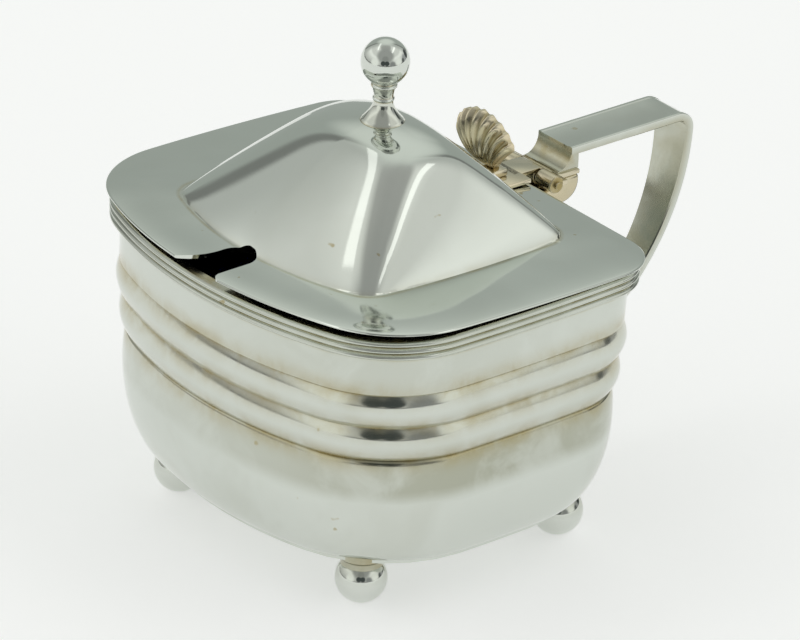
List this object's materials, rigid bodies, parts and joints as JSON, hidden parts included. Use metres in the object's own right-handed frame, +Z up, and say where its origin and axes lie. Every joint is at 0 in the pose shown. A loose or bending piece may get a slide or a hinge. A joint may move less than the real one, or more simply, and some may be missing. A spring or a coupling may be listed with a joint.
{
  "type": "mustard pot",
  "caption": "Bow-front silver mustard pot with a hinged domed lid, shell thumbpiece, spoon cut, strap handle, ball feet and a lift-out blue glass liner.",
  "frame": {"origin": "Middle of the part's box in plan, on the plane that the ball feet stand on", "axes": "+X from the bowed front with the spoon cut towards the handle, +Y to the pot's own left, +Z up"},
  "size_m": [0.1059, 0.085, 0.0888],
  "materials": {
    "silver": "polished silver with hand polishing marks and a light warm tarnish in the creases",
    "bright_silver": "bright polished silver with fine scratches",
    "tarnished_silver": "polished silver with yellow-brown tarnish left in the hollows",
    "blue_glass": "clear cobalt blue blown glass, slightly uneven, with a ground rim"
  },
  "bodies": {
    "pot": {"body_shell": "silver", "base_plate": "silver", "rim_moulding": "bright_silver", "foot_ball_front_left": "bright_silver", "foot_ball_front_right": "bright_silver", "foot_ball_rear_left": "bright_silver", "foot_ball_rear_right": "bright_silver", "foot_neck_front_left": "silver", "foot_neck_front_right": "silver", "foot_neck_rear_left": "silver", "foot_neck_rear_right": "silver", "hinge_leaf_body": "tarnished_silver", "hinge_pin": "tarnished_silver", "handle_bracket": "tarnished_silver", "handle_strap": "silver", "handle_pad": "silver", "glass_liner": "blue_glass"},
    "lid": {"lid_cover": "silver", "finial_stem": "bright_silver", "finial_ball": "bright_silver", "finial_washer": "silver", "thumbpiece": "tarnished_silver", "thumbpiece_foot": "tarnished_silver", "hinge_leaf_lid": "tarnished_silver"}
  },
  "joints": [
    {"name": "lid_hinge", "type": "hinge", "parent": "pot", "child": "lid", "pos_m": [0.0198, 0, 0.0554], "axis": [0, 1, 0], "range_deg": [0, 103]}
  ]
}
